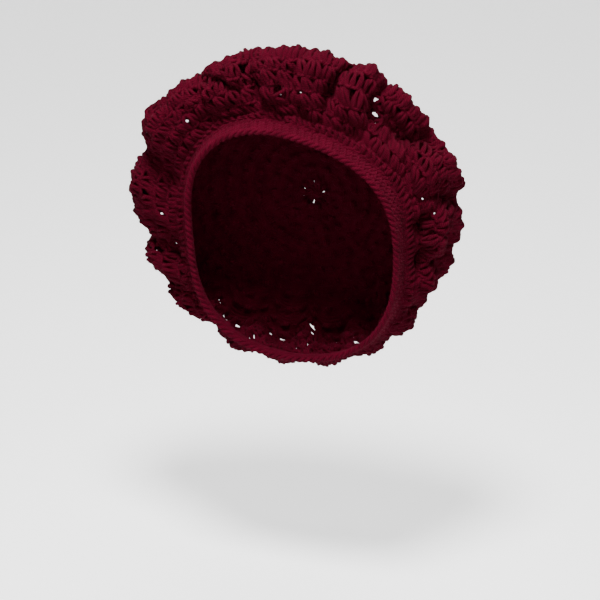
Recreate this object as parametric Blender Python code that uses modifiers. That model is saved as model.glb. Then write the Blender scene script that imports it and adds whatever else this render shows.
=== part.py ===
"""Crocheted slouch beret, built round by round, the way it is worked.

Frame: metres, +Z up as the hat is worn on the back of a head. The head opening
faces -Y and its edge lies in the plane y = 0, the crown bulges towards +Y, and
the origin is the centre of the opening.

The fabric is one skin of yarn that runs from the edge of the band, out over
the underside, round the rim and in over the crown to the centre ring. Every
round of stitches is its own closed ring: a rectangular section is turned with a
Screw modifier and then laid on the fabric's surface. Each surface point has
three coordinates: a direction theta round the opening, s along the fabric from
the band's edge to the crown's centre, and n through the thickness.
"""

import math

import bmesh
import bpy
import numpy as np

# ---------------------------------------------------------------- dimensions
MM = 0.001
OPENING_MEAN = 93.6  # mean radius of the opening, to the middle of the fabric
# Its outline as worn, an oval that is fuller at the upper left: the cosine and
# sine part of each wave round it.
OPENING_WAVES = ((-2.28, -0.74), (-4.53, -3.08), (2.34, 1.00), (-2.80, 0.62))
BAND_DEPTH = 24.0  # edge round and four tight rounds
BAND_FLARE = 8.5  # mean growth in radius over the band's depth
GATHER_LENGTH = 9.0
GATHER_TUCK = 1.6  # how far the gathers are drawn in behind the puffs
RIM_RADIUS = 136.5
RIM_SHIFT = (-13.5, 18.0)  # the slouch is pulled up and to one side
RIM_DEPTH = 55.0  # mean distance of the rim behind the opening
RIM_DEPTH_TILT = 21.0  # the rim's plane is tilted by this much either way
RIM_DEEPEST = -50.0  # the direction, in degrees, where the rim is deepest
CROWN_SHIFT = (-8.0, 12.0)  # centre of the crown
CROWN_DEPTH = 100.0
CROWN_POWER = 2.2  # 2 is a parabola, more is flatter in the middle
UNDERSIDE_ROUND = 13.0  # height of a round of clusters, below the rim
CROWN_ROUND = 13.3  # height of a round of clusters, on the crown
RIM_ROUND = 14.0
FABRIC = 4.0  # thickness
GAP = 0.6  # between neighbouring rounds, along the fabric

# The gathers: (direction round the rim in degrees, depth, pull on the rim)
FOLDS = (
    (9, 6.0, 2.0),
    (33, 4.5, 1.0),
    (56, 7.0, 4.5),
    (84, 4.5, 2.5),
    (105, 3.5, 1.5),
    (125, 7.0, 3.5),
    (162, 8.0, 5.5),
    (197, 7.0, 5.0),
    (215, 3.5, 1.0),
    (234, 4.5, 3.0),
    (253, 4.0, 2.0),
    (272, 6.5, 4.0),
    (291, 4.0, 2.0),
    (310, 6.0, 4.0),
    (328, 4.5, 4.0),
    (347, 4.5, 2.0),
)
FOLD_CREST = 3.0  # how far the puffs between two gathers stand forward

STEPS_RUFFLED = 96
STEPS_PLAIN = 48
STEPS_CENTRE = 24

# Stations along the fabric, from the band's edge to the crown's centre.
S_BAND = BAND_DEPTH
S_GATHER = S_BAND + GATHER_LENGTH
S_RIM_IN = S_GATHER + 4 * UNDERSIDE_ROUND
S_RIM = S_RIM_IN + RIM_ROUND / 2
S_RIM_OUT = S_RIM_IN + RIM_ROUND
S_TOP = S_RIM_OUT + 11 * CROWN_ROUND

COLLECTION = "crocheted_beret"


# ------------------------------------------------------------------- surface
def smooth(a, b, x):
    t = np.clip((x - a) / (b - a), 0.0, 1.0)
    return t * t * (3 - 2 * t)


def fold_height(theta):
    """How far the fabric is folded back at this direction, and how far its rim
    is pulled in. Both follow half cosines from each gather to the next puff."""
    degrees = np.degrees(theta) % 360
    back = np.zeros_like(degrees)
    pull = np.zeros_like(degrees)
    for i, (start, depth, tug) in enumerate(FOLDS):
        end, next_depth, next_tug = FOLDS[(i + 1) % len(FOLDS)]
        span = (end - start) % 360
        u = ((degrees - start) % 360) / span
        inside = u < 1
        near = np.where(u < 0.5, depth, next_depth)
        near_tug = np.where(u < 0.5, tug, next_tug)
        valley = (1 + np.cos(2 * math.pi * u)) / 2
        back = np.where(inside, valley * (near + FOLD_CREST) - FOLD_CREST, back)
        pull = np.where(inside, valley * near_tug, pull)
    return back, pull


def opening_radius(theta):
    made = OPENING_MEAN + 0 * theta
    for k, (cosine, sine) in enumerate(OPENING_WAVES):
        made = made + cosine * np.cos((k + 1) * theta) + sine * np.sin((k + 1) * theta)
    return made


def crown_depth(radius, rim_y):
    """Depth of the crown's dome at a distance from its centre."""
    share = np.clip(radius / (RIM_RADIUS - 5), 0, 1.2)
    return CROWN_DEPTH - (CROWN_DEPTH - rim_y - 9) * share**CROWN_POWER


def meridian(theta):
    """What sets one meridian's shape: the opening's radius there, the band's
    flare, the rim's depth, and the straight line from the band to the rim as a
    growth in radius, a growth in depth and a length."""
    up = np.clip(np.sin(theta), 0, 1)
    r0 = opening_radius(theta)
    flare = BAND_FLARE - 7 * up**2 - 2.5 * np.cos(theta)
    flare = flare - 6 * np.exp((np.cos(theta - 0.04) - 1) / 0.07)
    rim_y = RIM_DEPTH + RIM_DEPTH_TILT * np.cos(theta - math.radians(RIM_DEEPEST))
    shift = RIM_SHIFT[0] * np.cos(theta) + RIM_SHIFT[1] * np.sin(theta)
    out = shift + RIM_RADIUS - 4 - r0 - flare
    deep = rim_y - 8 - S_BAND
    return r0, flare, rim_y, out, deep, np.hypot(out, deep)


def knots(theta):
    """The stations of one meridian: s, distance from the moving centre, depth."""
    r0, flare, rim_y, out, deep, length = meridian(theta)
    # Where the rim is near the band the fabric has length to spare, and puffs.
    puff = 2.0 + 0.15 * np.clip(S_RIM_IN - S_BAND - length, 0, None)
    share = GATHER_LENGTH / (S_RIM_IN - S_BAND)
    span = RIM_RADIUS - 4 - r0 - flare
    made = [
        (0.0, r0, 0 * r0),
        (S_BAND * 0.5, r0 + 0.35 * flare, 0 * r0 + S_BAND * 0.5),
        (S_BAND, r0 + flare, 0 * r0 + S_BAND),
        (
            S_GATHER,
            r0 + flare + share * span + 0.2 * puff * deep / length,
            S_BAND + share * deep + GATHER_TUCK * out / length,
        ),
        (
            (S_GATHER + S_RIM_IN) / 2,
            r0 + flare + (1 + share) / 2 * span + puff * deep / length,
            S_BAND + (1 + share) / 2 * deep - puff * out / length,
        ),
        (S_RIM_IN, RIM_RADIUS - 4 + 0 * r0, rim_y - 8),
        (S_RIM, RIM_RADIUS + 0 * r0, rim_y),
        (S_RIM_OUT, RIM_RADIUS - 5 + 0 * r0, rim_y + 9),
    ]
    count = 7
    for i in range(1, count + 1):
        radius = (RIM_RADIUS - 5) * (1 - i / count)
        s = S_RIM_OUT + (S_TOP - S_RIM_OUT) * i / count
        made.append((s, radius + 0 * r0, crown_depth(radius, rim_y)))
    return made


def middle(theta, s):
    """A point on the middle of the fabric, in millimetres. Arrays in and out."""
    theta = np.asarray(theta, float)
    s = np.asarray(s, float)
    stations = knots(theta)
    at = np.array([k[0] for k in stations])
    radii = np.stack([k[1] for k in stations])
    depths = np.stack([k[2] for k in stations])
    i = np.clip(np.searchsorted(at, s, side="right") - 1, 0, len(at) - 2)
    columns = np.arange(theta.size)

    def spline(values):
        slopes = np.empty_like(values)
        step = np.diff(at)[:, None]
        rise = np.diff(values, axis=0) / step
        slopes[1:-1] = (rise[:-1] * step[1:] + rise[1:] * step[:-1]) / (
            step[1:] + step[:-1]
        )
        slopes[0], slopes[-1] = rise[0], rise[-1]
        h = at[i + 1] - at[i]
        t = (s - at[i]) / h
        a, b = values[i, columns], values[i + 1, columns]
        m, n = slopes[i, columns] * h, slopes[i + 1, columns] * h
        return (
            a * (2 * t**3 - 3 * t**2 + 1)
            + m * (t**3 - 2 * t**2 + t)
            + b * (3 * t**2 - 2 * t**3)
            + n * (t**3 - t**2)
        )

    radius, depth = spline(radii), spline(depths)
    back, pull = fold_height(theta)
    grown = smooth(S_BAND + 1, S_GATHER + 14, s) * (
        1 - smooth(S_RIM_OUT + 4, S_RIM_OUT + 75, s)
    )
    edge = np.exp(-(((s - S_RIM) / 24.0) ** 2)) * smooth(S_BAND, S_GATHER + 8, s)
    out, deep, length = meridian(theta)[3:]
    back = back * np.clip(length / 50, 0.4, 1)
    depth = depth + back * grown * out / length
    radius = radius - pull * edge - back * grown * deep / length
    drawn = smooth(S_BAND, S_RIM_IN, s)
    over = smooth(S_RIM_OUT, S_TOP, s)
    cx = drawn * RIM_SHIFT[0] + over * (CROWN_SHIFT[0] - RIM_SHIFT[0])
    cz = drawn * RIM_SHIFT[1] + over * (CROWN_SHIFT[1] - RIM_SHIFT[1])
    return np.stack(
        [cx + radius * np.cos(theta), depth, cz + radius * np.sin(theta)], axis=-1
    )


def stretch(theta, s):
    """Length of fabric for each unit of s."""
    ahead, behind = np.minimum(s + 0.5, S_TOP), np.maximum(s - 0.5, 0)
    far = np.linalg.norm(middle(theta, ahead) - middle(theta, behind), axis=-1)
    return far / (ahead - behind)


def fabric_point(theta, s, n):
    """A point of the fabric, n outwards from its middle, in metres."""
    reach = 0.4
    along = middle(theta, np.minimum(s + reach, S_TOP)) - middle(
        theta, np.maximum(s - reach, 0)
    )
    turn = 0.015
    across = middle(theta + turn, s) - middle(theta - turn, s)
    normal = np.cross(along, across)
    normal /= np.linalg.norm(normal, axis=-1, keepdims=True)
    # The edge of the band is cut square, so that it lies flat in its plane.
    square = np.stack([np.cos(theta), 0 * theta, np.sin(theta)], axis=-1)
    flat = (1 - smooth(0.0, 3.0, s))[:, None]
    normal = normal * (1 - flat) + square * flat
    normal /= np.linalg.norm(normal, axis=-1, keepdims=True)
    return (middle(theta, s) + normal * np.asarray(n)[:, None]) * MM


# --------------------------------------------------------------- construction
def new_collection(name):
    made = bpy.data.collections.new(name)
    bpy.context.scene.collection.children.link(made)
    return made


def yarn_material(name, colour, roughness):
    material = bpy.data.materials.new(name)
    material.use_nodes = True
    shader = material.node_tree.nodes["Principled BSDF"]
    shader.inputs["Base Color"].default_value = (*colour, 1.0)
    shader.inputs["Roughness"].default_value = roughness
    shader.inputs["Metallic"].default_value = 0.0
    material.diffuse_color = (*colour, 1.0)
    return material


def turned_ring(name, start, end, steps, rows, collection, material):
    """One round: a rectangular section, turned into a ring with a Screw and then
    laid on the fabric between the stations start and end."""
    drum = 100.0  # radius of the turned ring before it is laid on the fabric
    low, high = start, end
    outer = [(drum + FABRIC / 2, low + (high - low) * i / rows) for i in range(rows + 1)]
    inner = [(drum - FABRIC / 2, s) for _, s in reversed(outer)]
    section = outer + inner
    mesh = bpy.data.meshes.new(name + "_section")
    mesh.from_pydata(
        [(r, 0.0, -s) for r, s in section],
        [(i, (i + 1) % len(section)) for i in range(len(section))],
        [],
    )
    turned = bpy.data.objects.new(name + "_section", mesh)
    collection.objects.link(turned)
    screw = turned.modifiers.new("Turn", "SCREW")
    screw.axis = "Z"
    screw.angle = 2 * math.pi
    screw.steps = steps
    screw.render_steps = steps
    screw.use_merge_vertices = True
    screw.merge_threshold = 0.0001
    screw.use_smooth_shade = True
    bpy.context.view_layer.update()
    graph = bpy.context.evaluated_depsgraph_get()
    ring = bpy.data.meshes.new_from_object(turned.evaluated_get(graph))
    bpy.data.objects.remove(turned)
    bpy.data.meshes.remove(mesh)

    points = np.empty(len(ring.vertices) * 3)
    ring.vertices.foreach_get("co", points)
    points = points.reshape(-1, 3)
    theta = np.arctan2(points[:, 1], points[:, 0])
    n = np.hypot(points[:, 0], points[:, 1]) - drum
    s = -points[:, 2]
    at_low, at_high = s < start + 1e-4, s > end - 1e-4
    # Neighbouring rounds are parted by the same true gap all the way round.
    s = np.where(at_low & (start > 0), s + GAP / 2 / stretch(theta, s), s)
    s = np.where(at_high, s - GAP / 2 / stretch(theta, s), s)
    laid = fabric_point(theta, s, n)
    if start == 0.0:
        laid[at_low, 1] = 0.0
    ring.vertices.foreach_set("co", laid.reshape(-1))
    # Both neighbours split a twisted joining face along the same, shorter diagonal.
    cut = bmesh.new()
    cut.from_mesh(ring)
    bmesh.ops.triangulate(cut, faces=cut.faces, quad_method="SHORT_EDGE")
    cut.to_mesh(ring)
    cut.free()
    ring.name = name
    ring.materials.clear()
    ring.materials.append(material)
    ring.update()
    made = bpy.data.objects.new(name, ring)
    collection.objects.link(made)
    ring.shade_smooth()
    ring.set_sharp_from_angle(angle=math.radians(50))
    return made


def main():
    for old in list(bpy.data.objects):
        bpy.data.objects.remove(old)
    beret = new_collection(COLLECTION)

    def ring(name, start, end, steps, colour, rows=1):
        material = yarn_material(name + "_yarn", colour, 0.85)
        return turned_ring(name, start, end, steps, rows, beret, material)

    edge_red = (0.150, 0.004, 0.014)
    band_red = (0.120, 0.004, 0.013)
    body_red = (0.085, 0.003, 0.011)

    # The band: a braided edge round and four tight rounds.
    edge = 5.0
    height = (S_BAND - edge) / 4
    ring("band_edge_round", 0.0, edge, STEPS_PLAIN, edge_red)
    for i in range(4):
        low = edge + i * height
        steps = STEPS_RUFFLED if i == 3 else STEPS_PLAIN
        ring(f"band_round_{i + 1}", low, low + height, steps, band_red)

    # The round that gathers the slouch into the band, and the underside.
    ring("gather_round", S_BAND, S_GATHER, STEPS_RUFFLED, band_red)
    for i in range(4):
        low = S_GATHER + i * UNDERSIDE_ROUND
        ring(f"underside_round_{i + 1}", low, low + UNDERSIDE_ROUND, STEPS_RUFFLED, body_red)
    ring("rim_round", S_RIM_IN, S_RIM_OUT, STEPS_RUFFLED, body_red, rows=2)

    # The crown, from the rim in to its centre; round 1 is the centre ring.
    for i in range(11):
        low = S_RIM_OUT + i * CROWN_ROUND
        number = 11 - i
        if number > 6:
            steps = STEPS_RUFFLED
        elif number > 1:
            steps = STEPS_PLAIN
        else:
            steps = STEPS_CENTRE
        # A small hole is left in the middle, where the yarn's first loop is drawn up.
        high = low + CROWN_ROUND - (2.5 if number == 1 else 0)
        name = f"crown_round_{number:02d}" if number > 1 else "crown_centre_ring"
        ring(name, low, high, steps, body_red)


main()
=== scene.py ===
"""Crocheted slouch beret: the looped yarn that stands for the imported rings.

The fabric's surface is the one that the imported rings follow: a direction theta
round the opening, s along the fabric from the band's edge to the crown's
centre, and n outwards through its thickness, in millimetres. Every round is one
closed length of yarn, worked stitch by stitch along that surface.
"""

import math

import bpy
import numpy as np
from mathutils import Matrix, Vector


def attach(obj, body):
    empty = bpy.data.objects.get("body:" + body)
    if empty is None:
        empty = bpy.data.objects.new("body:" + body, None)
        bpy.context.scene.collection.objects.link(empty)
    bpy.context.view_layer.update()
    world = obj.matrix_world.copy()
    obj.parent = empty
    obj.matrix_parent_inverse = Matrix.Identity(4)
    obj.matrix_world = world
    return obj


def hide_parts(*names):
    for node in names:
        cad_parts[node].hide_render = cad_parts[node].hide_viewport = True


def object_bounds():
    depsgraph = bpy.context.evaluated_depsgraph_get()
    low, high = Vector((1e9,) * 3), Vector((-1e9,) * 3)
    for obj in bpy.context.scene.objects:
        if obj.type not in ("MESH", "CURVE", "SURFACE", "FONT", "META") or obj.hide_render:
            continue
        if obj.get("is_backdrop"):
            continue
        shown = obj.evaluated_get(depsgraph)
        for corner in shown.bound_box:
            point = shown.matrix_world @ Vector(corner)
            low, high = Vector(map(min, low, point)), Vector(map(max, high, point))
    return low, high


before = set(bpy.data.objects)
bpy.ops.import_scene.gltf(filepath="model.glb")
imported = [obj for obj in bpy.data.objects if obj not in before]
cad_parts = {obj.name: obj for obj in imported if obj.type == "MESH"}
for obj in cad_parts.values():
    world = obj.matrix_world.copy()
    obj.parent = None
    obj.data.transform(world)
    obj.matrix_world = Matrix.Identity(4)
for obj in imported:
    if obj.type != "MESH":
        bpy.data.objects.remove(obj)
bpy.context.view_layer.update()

MM = 0.001
YARN = 1.5  # radius of the yarn, millimetres
TAU = 2 * math.pi
chance = np.random.default_rng(1873)

# ------------------------------------------------------------------ the camera
AZIMUTH, ELEVATION, DISTANCE = math.radians(17), math.radians(24), 1.4
BACK = np.array(
    [
        math.sin(AZIMUTH) * math.cos(ELEVATION),
        -math.cos(AZIMUTH) * math.cos(ELEVATION),
        math.sin(ELEVATION),
    ]
)
RIGHT = np.array([math.cos(AZIMUTH), math.sin(AZIMUTH), 0.0])
UP = np.cross(BACK, RIGHT)
AIM = 0.0076 * RIGHT - 0.040 * UP

# ------------------------------------------------------------- fabric's surface
OPENING_MEAN = 93.6
OPENING_WAVES = ((-2.28, -0.74), (-4.53, -3.08), (2.34, 1.00), (-2.80, 0.62))
BAND_DEPTH, BAND_FLARE = 24.0, 8.5
GATHER_LENGTH, GATHER_TUCK = 9.0, 1.6
RIM_RADIUS, RIM_SHIFT = 136.5, (-13.5, 18.0)
RIM_DEPTH, RIM_DEPTH_TILT, RIM_DEEPEST = 55.0, 21.0, -50.0
CROWN_SHIFT, CROWN_DEPTH, CROWN_POWER = (-8.0, 12.0), 100.0, 2.2
UNDERSIDE_ROUND, CROWN_ROUND, RIM_ROUND = 13.0, 13.3, 14.0
# Direction in degrees, depth, pull on the rim, and how sharply the fabric turns
# into the gather on its clockwise side and on its other side.
FOLDS = (
    (9, 7.0, 3.0, 5, 2),
    (33, 6.0, 1.5, 4, 2),
    (56, 9.0, 6.5, 3, 8),
    (67, 10.0, 3.0, 4, 5),
    (84, 4.0, 2.0, 3, 3),
    (104, 9.0, 2.5, 5, 4),
    (125, 9.0, 5.5, 8, 3),
    (162, 11.0, 6.0, 6, 3),
    (197, 8.0, 5.5, 3, 7),
    (215, 5.0, 1.5, 3, 3),
    (234, 6.5, 4.0, 4, 3),
    (253, 5.5, 3.0, 3, 4),
    (272, 9.0, 5.0, 4, 3),
    (291, 5.5, 3.0, 3, 4),
    (310, 8.5, 5.0, 4, 3),
    (328, 6.5, 5.0, 3, 4),
    (347, 6.0, 3.0, 3, 5),
)
FOLD_CREST = 4.0
# Hollows of the underside: direction, station, depth, half width in degrees and
# half length in millimetres.
HOLLOWS = (
    (42, 65, 13.0, 10, 16),
    (62, 58, -4.0, 4, 20),
    (-3, 40, 8.0, 20, 8),
    (3, 60, -5.0, 20, 12),
    (152, 50, 3.0, 8, 16),
    (186, 52, 4.0, 8, 18),
)
# Creases, where one puff lies against the next: direction and station of the
# outer end and of the inner end, depth, and how far the fabric falls away into
# the crease on its clockwise side and on its other side, in millimetres.
CREASES = (
    (27, 88, 50, 42, 15.0, 4, 24),
    (4, 92, 27, 30, 11.0, 5, 9),
    (-10, 84, 12, 34, 9.0, 5, 8),
    (-22, 80, -4, 34, 7.0, 5, 8),
    (124, 93, 110, 54, 10.0, 5, 4),
    (103, 86, 105, 42, 6.0, 5, 5),
    (90, 84, 88, 62, 3.5, 4, 4),
    (138, 84, 134, 56, 3.0, 4, 5),
    (163, 90, 150, 30, 4.0, 5, 7),
    (180, 84, 176, 50, 3.0, 4, 5),
    (191, 84, 198, 36, 3.0, 5, 7),
)
# How far single puffs of the ruffle reach past the even rim, or fall short of it:
# direction in degrees, millimetres.
REACH = (
    (-60, 0.0), (-36, -6.0), (-22, -5.0), (-14, 0.0), (-8, -2.0), (0, 0.5),
    (6, 1.5), (12, 5.5), (17, 3.0), (24, 0.0), (46, 0.5), (57, 0.0), (62, 4.5),
    (68, 1.0), (74, -3.0), (79, -3.5), (85, 0.0), (92, -1.0), (100, -3.0),
    (115, -4.0), (123, -4.0), (130, -2.0), (136, -2.0), (143, 0.0), (150, -3.0),
    (157, 2.5), (163, 2.5), (168, 0.0), (174, -3.0), (188, -1.5), (196, 1.0),
    (201, 2.0), (206, -2.5), (212, 1.0), (218, 3.0), (235, 0.0),
)
S_BAND = BAND_DEPTH
S_GATHER = S_BAND + GATHER_LENGTH
S_RIM_IN = S_GATHER + 4 * UNDERSIDE_ROUND
S_RIM = S_RIM_IN + RIM_ROUND / 2
S_RIM_OUT = S_RIM_IN + RIM_ROUND
S_TOP = S_RIM_OUT + 11 * CROWN_ROUND


def smooth(a, b, x):
    t = np.clip((x - a) / (b - a), 0.0, 1.0)
    return t * t * (3 - 2 * t)


def hollow(theta, s):
    made = 0 * theta
    degrees = np.degrees(theta)
    for at, station, depth, wide, tall in HOLLOWS:
        apart = (degrees - at + 180) % 360 - 180
        made = made + depth * np.exp(-((apart / wide) ** 2) - ((s - station) / tall) ** 2)
    return made


def creased(theta, s):
    made = 0 * theta
    for deg1, s1, deg2, s2, depth, clockwise, other in CREASES:
        run = math.radians((deg2 - deg1 + 180) % 360 - 180) * 118.0, s2 - s1
        length = math.hypot(*run)
        x = ((np.degrees(theta) - deg1 + 180) % 360 - 180) * math.radians(118.0)
        y = s - s1
        along = (x * run[0] + y * run[1]) / length
        # Positive on the side that is further round, anticlockwise.
        aside = (y * run[0] - x * run[1]) / length
        wide = np.where(aside < 0, clockwise, other)
        ends = smooth(-12.0, 6.0, along) * (1 - smooth(length - 6.0, length + 10.0, along))
        made = made + depth * ends * np.exp(-np.abs(aside / wide) ** 1.6)
    return made


def veer(theta, s):
    """One gather slants: it meets the band further round than it meets the rim."""
    short = 1 - np.clip((s - S_BAND) / (S_RIM - S_BAND), 0, 1)
    apart = (np.degrees(theta) - 76 + 180) % 360 - 180
    return theta - math.radians(15) * short * np.exp(-((apart / 15) ** 2))


def fold_height(theta):
    """Depth of the gathers and pull on the rim. The creases are sharper than the
    packed rings' and the puffs between them are rounder."""
    degrees = np.degrees(theta) % 360
    back = np.zeros_like(degrees)
    pull = np.zeros_like(degrees)
    for i, (start, depth, tug, _, after) in enumerate(FOLDS):
        end, next_depth, next_tug, before, _ = FOLDS[(i + 1) % len(FOLDS)]
        span = (end - start) % 360
        u = ((degrees - start) % 360) / span
        inside = u < 1
        near = np.where(u < 0.5, depth, next_depth)
        near_tug = np.where(u < 0.5, tug, next_tug)
        sharp = np.where(u < 0.5, after, before)
        valley = (1 + np.cos(TAU * u)) / 2
        crease = 0.35 * valley + 0.65 * valley**sharp
        back = np.where(inside, crease * (near + FOLD_CREST) - FOLD_CREST, back)
        pull = np.where(inside, (0.3 * valley + 0.7 * valley**sharp) * near_tug, pull)
    return back, pull


def reach_of(theta):
    at = np.array([k[0] for k in REACH], float)
    mm = np.array([k[1] for k in REACH])
    degrees = (np.degrees(theta) + 60) % 360 - 60
    return np.interp(degrees, np.append(at, 300.0), np.append(mm, 0.0))


def opening_radius(theta):
    made = OPENING_MEAN + 0 * theta
    for k, (cosine, sine) in enumerate(OPENING_WAVES):
        made = made + cosine * np.cos((k + 1) * theta) + sine * np.sin((k + 1) * theta)
    return made


def crown_depth(radius, rim_y):
    share = np.clip(radius / (RIM_RADIUS - 5), 0, 1.2)
    return CROWN_DEPTH - (CROWN_DEPTH - rim_y - 9) * share**CROWN_POWER


def meridian(theta):
    up = np.clip(np.sin(theta), 0, 1)
    r0 = opening_radius(theta)
    flare = BAND_FLARE - 7 * up**2 - 2.5 * np.cos(theta)
    flare = flare - 6 * np.exp((np.cos(theta - 0.04) - 1) / 0.07)
    rim_y = RIM_DEPTH + RIM_DEPTH_TILT * np.cos(theta - math.radians(RIM_DEEPEST))
    shift = RIM_SHIFT[0] * np.cos(theta) + RIM_SHIFT[1] * np.sin(theta)
    out = shift + RIM_RADIUS - 4 - r0 - flare
    deep = rim_y - 8 - S_BAND
    return r0, flare, rim_y, out, deep, np.hypot(out, deep)


def knots(theta):
    r0, flare, rim_y, out, deep, length = meridian(theta)
    # On the right the ruffle stands forward beside the band, with a crease between.
    beside = np.exp((np.cos(theta - 0.04) - 1) / 0.06)
    puff = 2.0 + 0.15 * np.clip(S_RIM_IN - S_BAND - length, 0, None) + 3 * beside
    share = GATHER_LENGTH / (S_RIM_IN - S_BAND)
    span = RIM_RADIUS - 4 - r0 - flare
    made = [
        (0.0, r0, 0 * r0),
        (S_BAND * 0.5, r0 + 0.35 * flare, 0 * r0 + S_BAND * 0.5),
        (S_BAND, r0 + flare, 0 * r0 + S_BAND),
        (
            S_GATHER,
            r0
            + flare
            + share * span * (1 - 0.4 * beside)
            + 0.2 * puff * deep / length,
            S_BAND + share * deep + (GATHER_TUCK + 5 * beside) * out / length,
        ),
        (
            (S_GATHER + S_RIM_IN) / 2,
            r0 + flare + (1 + share) / 2 * span + puff * deep / length,
            S_BAND + (1 + share) / 2 * deep - puff * out / length,
        ),
        (S_RIM_IN, RIM_RADIUS - 4 + 0 * r0, rim_y - 8),
        (S_RIM, RIM_RADIUS + 0 * r0, rim_y),
        (S_RIM_OUT, RIM_RADIUS - 5 + 0 * r0, rim_y + 9),
    ]
    count = 7
    for i in range(1, count + 1):
        radius = (RIM_RADIUS - 5) * (1 - i / count)
        s = S_RIM_OUT + (S_TOP - S_RIM_OUT) * i / count
        made.append((s, radius + 0 * r0, crown_depth(radius, rim_y)))
    return made


def middle(theta, s):
    """A point on the middle of the fabric, in millimetres."""
    s = np.clip(s, 0, S_TOP)
    stations = knots(theta)
    at = np.array([k[0] for k in stations])
    radii = np.stack([k[1] for k in stations])
    depths = np.stack([k[2] for k in stations])
    i = np.clip(np.searchsorted(at, s, side="right") - 1, 0, len(at) - 2)
    columns = np.arange(theta.size)

    def spline(values):
        slopes = np.empty_like(values)
        step = np.diff(at)[:, None]
        rise = np.diff(values, axis=0) / step
        slopes[1:-1] = (rise[:-1] * step[1:] + rise[1:] * step[:-1]) / (
            step[1:] + step[:-1]
        )
        slopes[0], slopes[-1] = rise[0], rise[-1]
        h = at[i + 1] - at[i]
        t = (s - at[i]) / h
        a, b = values[i, columns], values[i + 1, columns]
        m, n = slopes[i, columns] * h, slopes[i + 1, columns] * h
        return (
            a * (2 * t**3 - 3 * t**2 + 1)
            + m * (t**3 - 2 * t**2 + t)
            + b * (3 * t**2 - 2 * t**3)
            + n * (t**3 - t**2)
        )

    radius, depth = spline(radii), spline(depths)
    back, pull = fold_height(veer(theta, s))
    full = S_GATHER + 14 + 22 * np.clip(np.sin(theta), 0, 1)
    back = back + hollow(theta, s) + creased(theta, s)
    grown = smooth(S_BAND + 1, full, s) * (
        1 - smooth(S_RIM_OUT + 4, S_RIM_OUT + 75, s)
    )
    edge = np.exp(-(((s - S_RIM) / 24.0) ** 2)) * smooth(S_BAND, S_GATHER + 8, s)
    out, deep, length = meridian(theta)[3:]
    back = back * np.clip(length / 50, 0.4, 1)
    depth = depth + back * grown * out / length
    radius = radius + (reach_of(theta) - pull) * edge - back * grown * deep / length
    drawn = smooth(S_BAND, S_RIM_IN, s)
    over = smooth(S_RIM_OUT, S_TOP, s)
    cx = drawn * RIM_SHIFT[0] + over * (CROWN_SHIFT[0] - RIM_SHIFT[0])
    cz = drawn * RIM_SHIFT[1] + over * (CROWN_SHIFT[1] - RIM_SHIFT[1])
    return np.stack(
        [cx + radius * np.cos(theta), depth, cz + radius * np.sin(theta)], axis=-1
    )


def unit(v):
    return v / np.maximum(np.linalg.norm(v, axis=-1, keepdims=True), 1e-9)


def surface(theta, s):
    """Point, direction round the fabric, direction towards the band's edge, and
    outward normal, for flat arrays. The point carries on straight past s = 0."""
    spot = middle(theta, s)
    along = middle(theta, np.minimum(s + 0.5, S_TOP)) - middle(
        theta, np.maximum(s - 0.5, 0)
    )
    turn = 0.012
    across = middle(theta + turn, s) - middle(theta - turn, s)
    near = np.hypot(across[:, 0], across[:, 2]) < 1e-6
    across[near] = np.stack(
        [-np.sin(theta[near]), 0 * theta[near], np.cos(theta[near])], axis=-1
    )
    normal = unit(np.cross(along, across))
    square = np.stack([np.cos(theta), 0 * theta, np.sin(theta)], axis=-1)
    flat = (1 - smooth(0.0, 3.0, s))[:, None]
    normal = unit(normal * (1 - flat) + square * flat)
    round_ = unit(across)
    down = unit(-along)
    spot = spot + down * np.maximum(-s, 0)[:, None]
    return spot, round_, down, normal


def pitch_of(theta, s):
    """Millimetres of fabric for one radian, leaving out the small folds."""
    spot = middle(theta, s)
    cx = smooth(S_BAND, S_RIM_IN, s) * RIM_SHIFT[0]
    cz = smooth(S_BAND, S_RIM_IN, s) * RIM_SHIFT[1]
    return np.maximum(np.hypot(spot[:, 0] - cx, spot[:, 2] - cz), 3.0)


# ------------------------------------------------------------------ yarn's path
def waves(count, shortest, longest):
    """Random waves over the fabric: cycles round it, per millimetre of s, phase."""
    length = chance.uniform(shortest, longest, count)
    heading = chance.uniform(0, TAU, count)
    return (
        np.round(128.0 / length * TAU * np.cos(heading)),
        TAU / length * np.sin(heading),
        chance.uniform(0, TAU, count),
    )


WAVES = [waves(7, 26, 60) for _ in range(3)]


def wander(theta, s, which):
    """How far hand work strays from an even round here, about -1 to 1."""
    made = 0
    for around, along, phase in zip(*WAVES[which]):
        made = made + np.sin(theta * around + s * along + phase)
    return made / 2.4


def slack(s):
    return smooth(S_BAND - 3, S_GATHER + 6, s) * (1 - 0.6 * smooth(S_RIM_OUT + 10, S_RIM_OUT + 60, s))


# Gaps in the near layer of the fabric alone, which show dark: right and up from
# the aim of the view, and radius, in millimetres.
PITS = (
    (-17.5, 168.5, 3.2),
    (-55.0, 160.0, 1.0),
    (25.0, 166.5, 1.2),
    (-92.0, 144.5, 1.2),
)
# Gaps that line up through both layers, so that light shows through.
EYELETS = (
    (61.6, 160.0, 2.2),
    (60.0, 148.2, 3.2),
    (59.4, 145.6, 2.2),
    (63.0, 149.8, 2.0),
    (-90.4, 143.2, 0.9),
    (-14.4, 164.8, 0.4),
    (-53.6, 162.4, 0.6),
    (0.8, 166.4, 0.5),
    (77.6, 129.6, 0.7),
    (97.6, 80.8, 0.6),
    (107.2, 69.6, 0.6),
    (-110.4, 68.8, 0.4),
    (-99.2, 45.6, 0.3),
)


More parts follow.
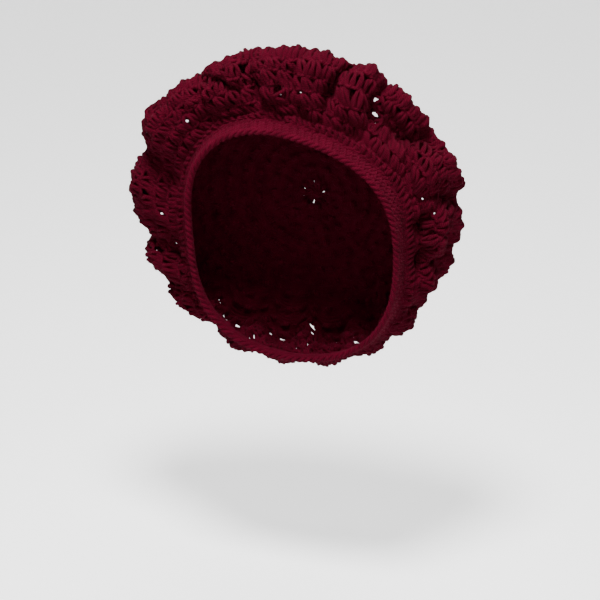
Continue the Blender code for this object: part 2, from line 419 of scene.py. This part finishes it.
def open_eyelets(path):
    """Bends the strands of a closed path round each eyelet, along one line of
    sight through both layers."""
    eye = (AIM + BACK * DISTANCE) / MM
    tangent = unit(np.roll(path, -1, axis=0) - np.roll(path, 1, axis=0))
    made = path.copy()
    for i, (right, up, size) in enumerate(EYELETS + PITS):
        ray = unit(AIM / MM + RIGHT * right + UP * up - eye)
        away = path - eye
        away = away - (away @ ray)[:, None] * ray
        far = np.linalg.norm(away, axis=-1)
        near = far < 16
        if i >= len(EYELETS):
            near &= (path - eye) @ ray < 1412
        a, t, d = away[near], tangent[near], far[near]
        flat = t - (t @ ray)[:, None] * ray
        size_flat = np.linalg.norm(flat, axis=-1, keepdims=True)
        flat = flat / np.maximum(size_flat, 1e-6)
        # Sideways for a strand that crosses, and outwards for one end on.
        beside = a - np.sum(a * flat, axis=-1, keepdims=True) * flat * np.minimum(
            size_flat * 2, 1
        )
        h = np.linalg.norm(beside, axis=-1)
        reach = size + YARN
        push = (np.sqrt(h**2 + reach**2) - h) * np.exp(-((d / (4.0 + size)) ** 4))
        made[near] = made[near] + beside / np.maximum(h, 0.05)[:, None] * push[:, None]
    return made


def worked(theta, s, across, down, out):
    """World points, in millimetres, of a path given on the surface with offsets
    across, down and out from it. Every argument has the same shape."""
    shape = theta.shape
    theta, s = theta.ravel(), s.ravel()
    loose = slack(s)
    stray_out = 1.5 * wander(theta, s, 0) * loose
    stray_down = 1.5 * wander(theta, s, 1) * loose
    stray_across = 1.2 * wander(theta, s, 2) * loose
    spot, e_round, e_down, e_out = surface(theta, s)
    made = (
        spot
        + e_round * (across.ravel() + stray_across)[:, None]
        + e_down * (down.ravel() + stray_down)[:, None]
        + e_out * (out.ravel() + stray_out)[:, None]
    )
    return made.reshape(*shape, 3)


def refine(points, times):
    """A closed path through the points, with more of them, as a Catmull-Rom."""
    a, b, c, d = (np.roll(points, k, axis=0) for k in (1, 0, -1, -2))
    made = []
    for k in range(times):
        t = k / times
        made.append(
            0.5
            * (
                2 * b
                + (c - a) * t
                + (2 * a - 5 * b + 4 * c - d) * t**2
                + (3 * b - 3 * c + d - a) * t**3
            )
        )
    return np.stack(made, axis=1).reshape(-1, 3)


SIDES = 8


def yarn_mesh(name, loops, radius):
    """One mesh of closed tubes. loops is a list of closed paths in millimetres."""
    all_points, all_faces, all_uv, total = [], [], [], 0
    for path in loops:
        count = len(path)
        tangent = unit(np.roll(path, -1, axis=0) - np.roll(path, 1, axis=0))
        frame_x = np.empty_like(path)
        start = np.cross(tangent[0], [0.3, 0.9, 0.2])
        frame_x[0] = start / np.linalg.norm(start)
        for k in range(1, count):
            x = frame_x[k - 1]
            t = tangent[k]
            x = x - t * (x[0] * t[0] + x[1] * t[1] + x[2] * t[2])
            frame_x[k] = x / math.sqrt(x[0] * x[0] + x[1] * x[1] + x[2] * x[2])
        # The frame is turned a little all along, so that it meets itself.
        t = tangent[0]
        x = frame_x[-1] - t * float(np.dot(frame_x[-1], t))
        x /= np.linalg.norm(x)
        gap = math.atan2(
            float(np.dot(np.cross(frame_x[0], x), t)), float(np.dot(frame_x[0], x))
        )
        frame_y = np.cross(tangent, frame_x)
        spin = -gap * np.arange(count) / count
        step = np.linalg.norm(np.roll(path, -1, axis=0) - path, axis=-1)
        length = np.concatenate([[0.0], np.cumsum(step)])
        girth = radius * (1 + 0.05 * np.sin(length[:-1] * 0.37 + 1.0))
        angle = TAU * np.arange(SIDES) / SIDES
        a = spin[:, None] + angle[None, :]
        ring = (
            path[:, None, :]
            + girth[:, None, None] * np.cos(a)[..., None] * frame_x[:, None, :]
            + girth[:, None, None] * np.sin(a)[..., None] * frame_y[:, None, :]
        )
        all_points.append(ring.reshape(-1, 3))
        i = np.arange(count)[:, None]
        j = np.arange(SIDES)[None, :]
        i2, j2 = (i + 1) % count, (j + 1) % SIDES
        quad = np.stack(
            [
                i * SIDES + j,
                i * SIDES + j2,
                i2 * SIDES + j2,
                i2 * SIDES + j,
            ],
            axis=-1,
        )
        all_faces.append(quad.reshape(-1, 4) + total)
        along0 = np.broadcast_to(length[:-1][:, None], (count, SIDES))
        along1 = np.broadcast_to(length[1:][:, None], (count, SIDES))
        round0 = np.broadcast_to(j / SIDES, (count, SIDES))
        round1 = round0 + 1 / SIDES
        uv = np.stack(
            [
                np.stack([along0, round0], -1),
                np.stack([along0, round1], -1),
                np.stack([along1, round1], -1),
                np.stack([along1, round0], -1),
            ],
            axis=2,
        )
        all_uv.append(uv.reshape(-1, 2))
        total += count * SIDES
    points = np.concatenate(all_points) * MM
    faces = np.concatenate(all_faces).astype(np.int32)
    uv = np.concatenate(all_uv).astype(np.float32)
    mesh = bpy.data.meshes.new(name)
    mesh.vertices.add(len(points))
    mesh.vertices.foreach_set("co", points.astype(np.float32).ravel())
    mesh.loops.add(faces.size)
    mesh.loops.foreach_set("vertex_index", faces.ravel())
    mesh.polygons.add(len(faces))
    mesh.polygons.foreach_set("loop_start", np.arange(0, faces.size, 4, dtype=np.int32))
    layer = mesh.uv_layers.new(name="yarn")
    layer.data.foreach_set("uv", uv.ravel())
    mesh.update(calc_edges=True)
    mesh.shade_smooth()
    return mesh


# -------------------------------------------------------------------- materials
def principled(material):
    return material.node_tree.nodes["Principled BSDF"]


def yarn_material(name, deep, bright, ply=1.6, plies=4.0):
    """Spun yarn: plies that wind round each strand, in a bump and in painted shade
    darker in their grooves, uneven dye, and a soft sheen from the fibres that stand out of it."""
    material = bpy.data.materials.new(name)
    material.use_nodes = True
    tree = material.node_tree
    shader = principled(material)

    def node(kind, **settings):
        made = tree.nodes.new(kind)
        for key, value in settings.items():
            setattr(made, key, value)
        return made

    def math_node(operation, a, b=None):
        made = node("ShaderNodeMath", operation=operation)
        for socket, value in zip(made.inputs, (a, b)):
            if value is None:
                continue
            if isinstance(value, (int, float)):
                socket.default_value = value
            else:
                tree.links.new(value, socket)
        return made.outputs[0]

    uv = node("ShaderNodeUVMap", uv_map="yarn")
    parts = node("ShaderNodeSeparateXYZ")
    tree.links.new(uv.outputs[0], parts.inputs[0])
    along, round_ = parts.outputs[0], parts.outputs[1]
    winding = math_node(
        "ADD", math_node("MULTIPLY", round_, plies), math_node("DIVIDE", along, ply)
    )
    wave = math_node("SINE", math_node("MULTIPLY", winding, math.pi))
    ridge = math_node("ABSOLUTE", wave)
    ridge = math_node("POWER", ridge, 0.6)

    place = node("ShaderNodeTexCoord")
    fibre = node("ShaderNodeTexNoise")
    fibre.inputs["Scale"].default_value = 1900.0
    fibre.inputs["Detail"].default_value = 2.0
    tree.links.new(place.outputs["Object"], fibre.inputs["Vector"])
    dye = node("ShaderNodeTexNoise")
    dye.inputs["Scale"].default_value = 90.0
    dye.inputs["Detail"].default_value = 3.0
    tree.links.new(place.outputs["Object"], dye.inputs["Vector"])

    height = math_node(
        "ADD", ridge, math_node("MULTIPLY", fibre.outputs["Fac"], 0.55)
    )
    bump = node("ShaderNodeBump")
    bump.inputs["Strength"].default_value = 0.95
    bump.inputs["Distance"].default_value = 0.0006
    tree.links.new(height, bump.inputs["Height"])
    tree.links.new(bump.outputs["Normal"], shader.inputs["Normal"])

    # Painted shade: the base colour is darker in the grooves between the plies, where shade falls,
    # and it also varies with the uneven dye, which is the yarn's own.
    mix = node("ShaderNodeMix", data_type="RGBA")
    mix.inputs["A"].default_value = (*deep, 1)
    mix.inputs["B"].default_value = (*bright, 1)
    share = math_node(
        "ADD",
        math_node("MULTIPLY", ridge, 0.75),
        math_node(
            "MULTIPLY", math_node("SUBTRACT", dye.outputs["Fac"], 0.3), 1.1
        ),
    )
    clamp = node("ShaderNodeClamp")
    tree.links.new(share, clamp.inputs[0])
    tree.links.new(clamp.outputs[0], mix.inputs["Factor"])
    tree.links.new(mix.outputs["Result"], shader.inputs["Base Color"])
    shader.inputs["Roughness"].default_value = 0.9
    shader.inputs["Specular IOR Level"].default_value = 0.015
    shader.inputs["Sheen Weight"].default_value = 0.015
    shader.inputs["Sheen Roughness"].default_value = 0.45
    shader.inputs["Sheen Tint"].default_value = (0.75, 0.22, 0.28, 1)
    material.diffuse_color = (*bright, 1)
    return material


body_yarn = yarn_material("body_yarn", (0.0095, 0.00015, 0.0012), (0.041, 0.0010, 0.0058))
# The band's copy of the same burgundy yarn is painted lighter: painted light for the band's brighter
# look.
band_yarn_painted_lighter = yarn_material("band_yarn_painted_lighter", (0.015, 0.0003, 0.0020), (0.049, 0.0013, 0.0072))


# ---------------------------------------------------------------------- rounds
beret = bpy.data.collections.new("looped_yarn")
bpy.context.scene.collection.children.link(beret)


def finish_piece(name, node, loops, material, radius=YARN):
    piece = bpy.data.objects.new(name, yarn_mesh(name, loops, radius))
    piece.data.materials.append(material)
    beret.objects.link(piece)
    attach(piece, "root")
    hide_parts(node)
    return piece


def jitter(shape, size):
    return chance.normal(0.0, size, shape)


def cluster_round(
    name,
    node,
    base_s,
    top_s,
    count,
    phase,
    below,
    per=3,
    spread=0.335,
    puff=2.6,
    round_off=1.3,
    root=0.05,
    belly=1.45,
    radius=YARN,
    lays=(),
):
    """A round of clusters of tall stitches. Each cluster is worked into a gap of
    the round below: below holds the directions of its gaps. Returns this
    round's own gaps."""
    tops = phase + TAU * np.arange(count) / count
    if below is None:
        bases = tops.copy()
    else:
        apart = (tops[:, None] - below[None, :] + math.pi) % TAU - math.pi
        nearest = np.argmin(np.abs(apart), axis=1)
        bases = tops - apart[np.arange(count), nearest] * 0.85
    tall = base_s - top_s
    w = TAU / count
    # Place of each stitch in its cluster, from -1 to 1.
    place = np.linspace(-1, 1, per) if per > 1 else np.zeros(1)
    lean = jitter((count, 1), 0.055 * w)
    top = tops[:, None] + lean + place[None, :] * spread * w
    top = top + jitter(top.shape, 0.02 * w)
    base = bases[:, None] + place[None, :] * root * w + jitter((count, per), 0.01 * w)
    lift = jitter((count, 1), 0.4)
    puffed = puff * (1 + jitter((count, 1), 0.2))
    top, base = top.reshape(-1), base.reshape(-1)
    side = np.tile(place, count)
    lift = np.repeat(lift, per, axis=1).reshape(-1)
    puffed = np.repeat(puffed, per, axis=1).reshape(-1)
    reach = np.diff(np.concatenate([top, [top[0] + TAU]]))
    reach_mm = reach * pitch_of(top, np.full_like(top, top_s))
    # The last stitch of a cluster hands over to the next one behind the gap.
    last = (np.arange(top.size) % per == per - 1) & (per > 1)
    dip = np.where(last, 1.6, 0.0)
    pit = 1.0 if per > 1 else 0.4

    def post(t):
        """Direction, station and lift of the post's own middle at height t."""
        c = base + belly * (top - base)
        e = base + 0.92 * (top - base)
        th = (1 - t) ** 2 * base + 2 * t * (1 - t) * c + t**2 * e
        s = base_s - tall * t
        rise = math.sin(math.pi * min(max(t, 0), 1) ** 0.85) ** 0.7
        n = lift + puffed * rise - pit * (1 - t) ** 3 * 1.5
        n = n - round_off * np.abs(side) * math.sin(math.pi * t * 0.9)
        return th, s + 0 * th, n

    keys = []
    turns = 1.1
    phase0 = 0.5 + jitter(top.shape, 0.3)
    wide = 0.9 if per > 1 else 1.25
    thick = 1.0

    def strand(t, way):
        th, s, n = post(t)
        psi = phase0 + math.pi * turns * t + (0 if way > 0 else math.pi)
        keys.append((th, s, wide * np.cos(psi), 0 * th, n + thick * np.sin(psi)))

    def fixed(th, s, across, down, out):
        keys.append((th, s + 0 * th, across + 0 * th, down + 0 * th, out + 0 * th))

    for t in (0.97, 0.79, 0.60, 0.41, 0.22):
        strand(t, 1)
    th, s, n = post(0.0)
    fixed(th, s, -0.5 + 0 * n, 0.4, -1.6 + n)
    fixed(th, s, 0.0 * n, -1.5, -1.6 + n)
    fixed(th, s, 0.5 + 0 * n, -0.6, 0.2 + n)
    for t in (0.18, 0.38, 0.58, 0.78, 0.97):
        strand(t, -1)
    th, s, n = post(1.0)
    fixed(th, s, 0.25 * reach_mm, 0.45, n + 1.45 - 0.5 * dip)
    fixed(th, s, 0.80 * reach_mm, 0.95, n + 1.15 - dip)
    fixed(th, s, 1.18 * reach_mm, 0.60, n + 0.0 - 0.6 * dip)
    fixed(th, s, 0.88 * reach_mm, -0.1, n - 1.35 - 0.3 * dip)

    arrays = [np.stack([k[i] for k in keys], axis=1).reshape(-1) for i in range(5)]
    path = worked(*arrays)
    loops = [open_eyelets(refine(path, 2))]
    # The yarn that each stitch wraps round its neighbours, behind the posts.
    steps = count * max(per, 2) * 2
    for t, depth in lays:
        turn = TAU * np.arange(steps) / steps
        order = np.argsort(top % TAU)
        along = np.sort(top % TAU)
        rise = math.sin(math.pi * t**0.85) ** 0.7
        raised = np.interp(turn, along, (lift + puffed * rise)[order], period=TAU)
        wave = np.sin(turn * count * max(per, 2))
        path = worked(
            turn,
            base_s - tall * t + 0 * turn,
            0 * turn,
            0.9 * wave,
            raised - depth + 0.3 * wave,
        )
        loops.append(open_eyelets(refine(path, 2)))
    finish_piece(name, node, loops, body_yarn, radius)
    return tops + TAU / count / 2


def tight_round(name, node, base_s, top_s, count, phase, material, radius=YARN, out=0.0):
    """A round of short stitches: two legs in a V and the loop along their top."""
    tall = base_s - top_s
    th = phase + TAU * np.arange(count) / count + jitter((count,), 0.0012)
    w = TAU / count * pitch_of(th, np.full_like(th, (base_s + top_s) / 2))
    n0 = out + jitter((count,), 0.12)
    keys = []

    def key(across, t, lift):
        keys.append((th, base_s - tall * t + 0 * th, across * w, 0 * th, n0 + lift))

    key(-0.30, 0.92, 0.3)
    key(-0.20, 0.55, 0.75)
    key(-0.08, 0.15, 0.5)
    key(-0.06, -0.18, -0.7)
    key(0.10, -0.30, -1.1)
    key(0.12, -0.12, 0.4)
    key(0.16, 0.25, 0.95)
    key(0.26, 0.65, 0.95)
    key(0.42, 0.98, 1.0)
    key(0.85, 1.22, 1.05)
    key(1.22, 1.12, 0.1)
    key(1.00, 0.90, -1.0)
    arrays = [np.stack([k[i] for k in keys], axis=1).reshape(-1) for i in range(5)]
    loops = [refine(worked(*arrays), 2)]
    # The yarn behind the legs, where this round meets its neighbours.
    turn = TAU * np.arange(count * 4) / (count * 4)
    for t in (0.08, 0.9):
        wave = np.sin(turn * count)
        path = worked(
            turn, base_s - tall * t + 0 * turn, 0 * turn, 0.4 * wave, out - 1.0 + 0 * turn
        )
        loops.append(refine(path, 2))
    finish_piece(name, node, loops, material, radius)


def edge_round(name, node, base_s, top_s, count, material):
    """The braided edge: two strands that wind round each other along it."""
    turn = TAU * np.arange(count * 12) / (count * 12)
    loops = []
    for k in range(2):
        psi = turn * count + k * math.pi
        middle_s = (base_s + top_s) / 2 + 0.1
        path = worked(
            turn,
            np.full_like(turn, middle_s),
            0 * turn,
            1.25 * np.sin(psi),
            1.30 * np.cos(psi) + 0.1,
        )
        loops.append(path)
    finish_piece(name, node, loops, material, 1.45)


# Rounds are worked from the centre of the crown out to the rim, back in over
# the underside, and into the band.
gaps = None
for number in range(1, 12):
    low = S_RIM_OUT + (11 - number) * CROWN_ROUND
    high = low + CROWN_ROUND - (2.5 if number == 1 else 0)
    if number == 1:
        gaps = cluster_round(
            "yarn_centre_ring", "crown_centre_ring", high, low, 12, 0.0, None, per=1,
            puff=0.6,
        )
        continue
    count = {2: 11, 3: 17}.get(number, round(6.4 * number))
    gaps = cluster_round(
        f"yarn_crown_{number:02d}",
        f"crown_round_{number:02d}",
        high,
        low,
        count,
        0.13 * number,
        gaps,
        puff=2.2,
        round_off=1.1,
        root=0.10,
        belly=1.6,
        radius=1.68,
        lays=((0.10, 1.5), (0.30, 1.9), (0.50, 2.0), (0.70, 1.9), (0.88, 1.6)),
    )
RIM_COUNT = 72
phase = 0.03
gaps = cluster_round(
    "yarn_rim", "rim_round", S_RIM_OUT, S_RIM_IN, RIM_COUNT, phase, gaps,
    spread=0.29, puff=2.7, round_off=1.6, belly=1.6, radius=1.7,
    lays=((0.22, 1.6), (0.42, 1.9), (0.62, 1.9), (0.82, 1.6)),
)
for i in range(4, 0, -1):
    phase += TAU / RIM_COUNT / 2
    low = S_GATHER + (i - 1) * UNDERSIDE_ROUND
    gaps = cluster_round(
        f"yarn_underside_{i}",
        f"underside_round_{i}",
        low + UNDERSIDE_ROUND,
        low,
        RIM_COUNT,
        phase,
        gaps,
    )
BAND_COUNT = 96
cluster_round(
    "yarn_gather",
    "gather_round",
    S_GATHER + 1.5,
    S_BAND - 1.5,
    120,
    0.0,
    None,
    per=1,
    puff=2.4,
    radius=1.6,
    lays=((0.25, 1.0), (0.6, 1.2)),
)
edge = 5.0
height = (S_BAND - edge) / 4
# The band's edge and its rounds, all but the one next to the gather, take the copy of the yarn that
# is painted lighter, which is painted light.
for i in range(3, -1, -1):
    low = edge + i * height
    tight_round(
        f"yarn_band_{i + 1}",
        f"band_round_{i + 1}",
        low + height,
        low,
        BAND_COUNT,
        0.013 * i,
        body_yarn if i == 3 else band_yarn_painted_lighter,
        radius=1.48,
    )
edge_round("yarn_band_edge", "band_edge_round", edge, 0.0, 54, band_yarn_painted_lighter)

# ---------------------------------------------------------------- floor, light
def plain_material(name, colour, roughness, glow):
    material = bpy.data.materials.new(name)
    material.use_nodes = True
    shader = principled(material)
    shader.inputs["Base Color"].default_value = (*colour, 1)
    shader.inputs["Roughness"].default_value = roughness
    shader.inputs["Emission Color"].default_value = (1, 1, 1, 1)
    shader.inputs["Emission Strength"].default_value = glow
    return material


# A round sweep: a floor that curves up into a wall on every side.
FLOOR_Z = -0.32
profile = [(0.0, 0.0), (1.0, 0.0), (2.0, 0.0), (2.6, 0.0)]
for k in range(1, 13):
    a = math.pi / 2 * k / 12
    profile.append((2.6 + 0.8 * math.sin(a), 0.8 - 0.8 * math.cos(a)))
profile.append((3.4, 2.2))
profile.append((3.4, 3.6))
around = 96
verts = [(0.0, 0.0, FLOOR_Z)]
for r, z in profile[1:]:
    for k in range(around):
        a = TAU * k / around
        verts.append((r * math.cos(a), r * math.sin(a), z + FLOOR_Z))
faces = [(0, 1 + k, 1 + (k + 1) % around) for k in range(around)]
for i in range(len(profile) - 2):
    for k in range(around):
        k2 = (k + 1) % around
        p, q = 1 + i * around, 1 + (i + 1) * around
        faces.append((p + k, q + k, q + k2, p + k2))
sweep_mesh = bpy.data.meshes.new("studio_sweep")
sweep_mesh.from_pydata(verts, [], faces)
sweep_mesh.shade_smooth()
sweep = bpy.data.objects.new("studio_sweep", sweep_mesh)
sweep.data.materials.append(plain_material("pale_paper", (0.94, 0.94, 0.94), 0.9, 0.42))
bpy.context.scene.collection.objects.link(sweep)
sweep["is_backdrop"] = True

world = bpy.data.worlds.new("studio")
bpy.context.scene.world = world
world.use_nodes = True
world.node_tree.nodes["Background"].inputs["Color"].default_value = (1, 1, 1, 1)
world.node_tree.nodes["Background"].inputs["Strength"].default_value = 0.35


def area_light(name, azimuth, elevation, distance, size, power, colour=(1, 1, 1)):
    a, e = math.radians(azimuth), math.radians(elevation)
    data = bpy.data.lights.new(name, "AREA")
    data.shape = "DISK"
    data.size = size
    data.energy = power
    data.color = colour
    light = bpy.data.objects.new(name, data)
    back = np.array(
        [math.sin(a) * math.cos(e), -math.cos(a) * math.cos(e), math.sin(e)]
    )
    light.location = tuple(back * distance)
    from mathutils import Vector

    light.rotation_mode = "QUATERNION"
    light.rotation_quaternion = Vector(-back).to_track_quat("-Z", "Y")
    bpy.context.scene.collection.objects.link(light)
    return light


area_light("key", 6, 72, 1.0, 0.28, 35)
area_light("fill", 50, 20, 2.2, 1.2, 1.5)
area_light("backdrop_wash", 180, 70, 2.2, 1.6, 30)

camera_data = bpy.data.cameras.new("camera")
camera_data.sensor_width = 36.0
camera_data.lens = 105.0
camera = bpy.data.objects.new("camera", camera_data)
from mathutils import Vector

camera.location = tuple(AIM + BACK * DISTANCE)
camera.rotation_mode = "QUATERNION"
camera.rotation_quaternion = Vector(-BACK).to_track_quat("-Z", "Y")
camera_data.clip_start, camera_data.clip_end = 0.05, 20
bpy.context.scene.collection.objects.link(camera)
bpy.context.scene.camera = camera

low, high = (list(corner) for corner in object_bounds())
